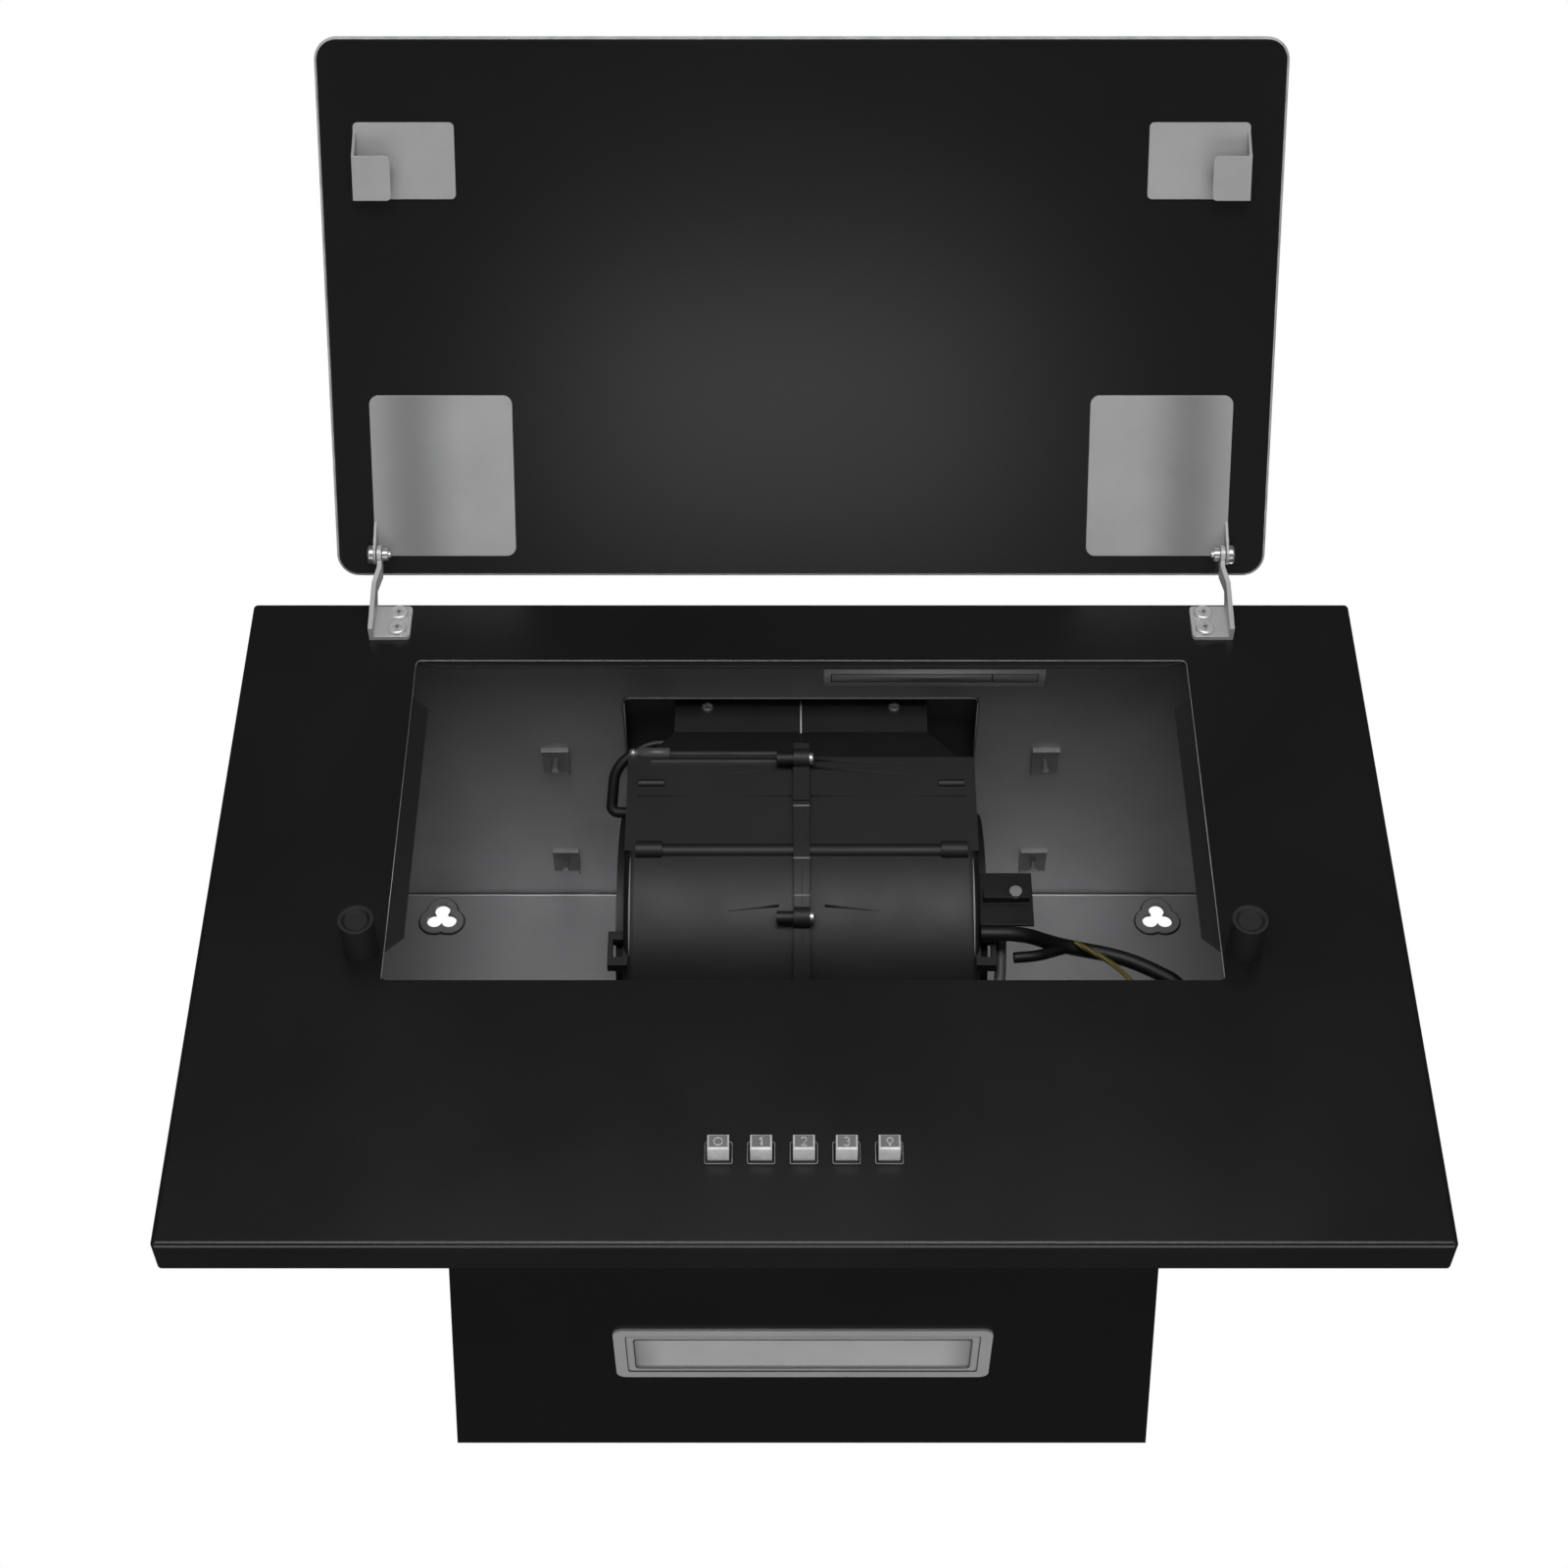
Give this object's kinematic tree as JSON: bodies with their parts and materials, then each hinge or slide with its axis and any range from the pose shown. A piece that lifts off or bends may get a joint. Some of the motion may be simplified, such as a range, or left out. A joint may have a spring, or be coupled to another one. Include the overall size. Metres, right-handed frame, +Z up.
{
  "type": "range hood",
  "caption": "Wall range hood with a tilted dark front panel, a black glass flap hinged open at the top, a blower behind the intake opening, push buttons and an under-side lamp.",
  "frame": {"origin": "on the wall plane, midway between the two hanging holes", "axes": "+X along the width, to the right for a person in front; +Y into the wall; +Z up"},
  "size_m": [0.6, 0.4621, 0.5883],
  "materials": {
    "panel_paint": "satin",
    "zinc": "semi-gloss zinc coat",
    "dark_steel": "satin",
    "box_paint": "satin",
    "lamp_plastic": "satin, silver grey",
    "lens": "frosted",
    "board": "matte",
    "chips": "gloss",
    "dark_plastic": "semi-gloss",
    "key_chrome": "satin chrome on plastic",
    "can": "satin",
    "light_plastic": "matte",
    "hinge_steel": "zinc-plated",
    "screw_steel": "bright zinc",
    "soft_rubber": "matte",
    "blower_plastic": "satin",
    "wheel_plastic": "satin",
    "motor_steel": "plain",
    "cable_black": "satin",
    "cable_grey": "satin",
    "cable_earth": "gloss",
    "flap_black": "polished, black back coat"
  },
  "bodies": {
    "hood": {"front_panel": "panel_paint", "chamber_wrap": "zinc", "chamber_end_left": "zinc", "chamber_end_right": "zinc", "filter_rail_left": "dark_steel", "filter_rail_right": "dark_steel", "filter_rail_top": "dark_steel", "lower_box": "box_paint", "lamp_frame": "lamp_plastic", "lamp_lens": "lens", "lamp_board": "board", "light_chips": "chips", "lamp_driver": "dark_plastic", "motor_capacitor": "can", "terminal_block": "light_plastic", "switch_block": "dark_plastic", "key_bezels": "dark_plastic", "hinge_base_left": "hinge_steel", "hinge_base_right": "hinge_steel", "hinge_base_screws": "screw_steel", "catch_knob_left": "soft_rubber", "catch_knob_right": "soft_rubber", "blower_half_left": "blower_plastic", "blower_half_right": "blower_plastic", "inlet_grille_left": "blower_plastic", "inlet_grille_right": "blower_plastic", "seam_screws": "screw_steel", "motor": "motor_steel", "motor_bracket": "motor_steel", "outlet_adaptor": "blower_plastic", "neck_screws": "screw_steel", "damper_pins": "screw_steel", "chimney_nuts": "screw_steel", "chimney_screws": "screw_steel", "cable_clamp": "blower_plastic", "cable_grommets": "soft_rubber", "mains_gland": "blower_plastic", "earth_tag": "screw_steel", "cable_main": "cable_black", "motor_lead": "cable_grey", "earth_wire": "cable_earth", "cable_left": "cable_black"},
    "flap": {"flap_glass": "flap_black", "flap_bracket_left": "hinge_steel", "flap_bracket_right": "hinge_steel", "hook_plate_left": "hinge_steel", "hook_plate_right": "hinge_steel", "pivot_screws": "screw_steel", "pivot_nuts": "screw_steel"},
    "impeller": {"fan_wheel": "wheel_plastic", "motor_shaft": "screw_steel"},
    "damper_front_leaf": {"damper_front": "blower_plastic"},
    "damper_back_leaf": {"damper_back": "blower_plastic"},
    "key_off_cap": {"key_off": "key_chrome"},
    "key_speed_1_cap": {"key_speed_1": "key_chrome"},
    "key_speed_2_cap": {"key_speed_2": "key_chrome"},
    "key_speed_3_cap": {"key_speed_3": "key_chrome"},
    "key_lamp_cap": {"key_lamp": "key_chrome"}
  },
  "joints": [
    {"name": "flap_hinge", "type": "hinge", "parent": "hood", "child": "flap", "pos_m": [0, -0.24704, 0.07305], "axis": [1, 0, 0], "range_deg": [0, 125.2]},
    {"name": "wheel_spin", "type": "hinge", "parent": "hood", "child": "impeller", "pos_m": [0, -0.10599, -0.086], "axis": [1, 0, 0], "continuous": true},
    {"name": "damper_front_swing", "type": "hinge", "parent": "hood", "child": "damper_front_leaf", "pos_m": [0, -0.11659, 0.048], "axis": [-1, 0, 0], "range_deg": [0, 80]},
    {"name": "damper_back_swing", "type": "hinge", "parent": "hood", "child": "damper_back_leaf", "pos_m": [0, -0.10939, 0.048], "axis": [1, 0, 0], "range_deg": [0, 80]},
    {"name": "key_off_press", "type": "slide", "parent": "hood", "child": "key_off_cap", "axis": [0, 0.9992, -0.04], "range_m": [0, 0.003], "stiffness_N_per_m": 400},
    {"name": "key_speed_1_press", "type": "slide", "parent": "hood", "child": "key_speed_1_cap", "axis": [0, 0.9992, -0.04], "range_m": [0, 0.003], "stiffness_N_per_m": 400},
    {"name": "key_speed_2_press", "type": "slide", "parent": "hood", "child": "key_speed_2_cap", "axis": [0, 0.9992, -0.04], "range_m": [0, 0.003], "stiffness_N_per_m": 400},
    {"name": "key_speed_3_press", "type": "slide", "parent": "hood", "child": "key_speed_3_cap", "axis": [0, 0.9992, -0.04], "range_m": [0, 0.003], "stiffness_N_per_m": 400},
    {"name": "key_lamp_press", "type": "slide", "parent": "hood", "child": "key_lamp_cap", "axis": [0, 0.9992, -0.04], "range_m": [0, 0.003], "stiffness_N_per_m": 400}
  ]
}
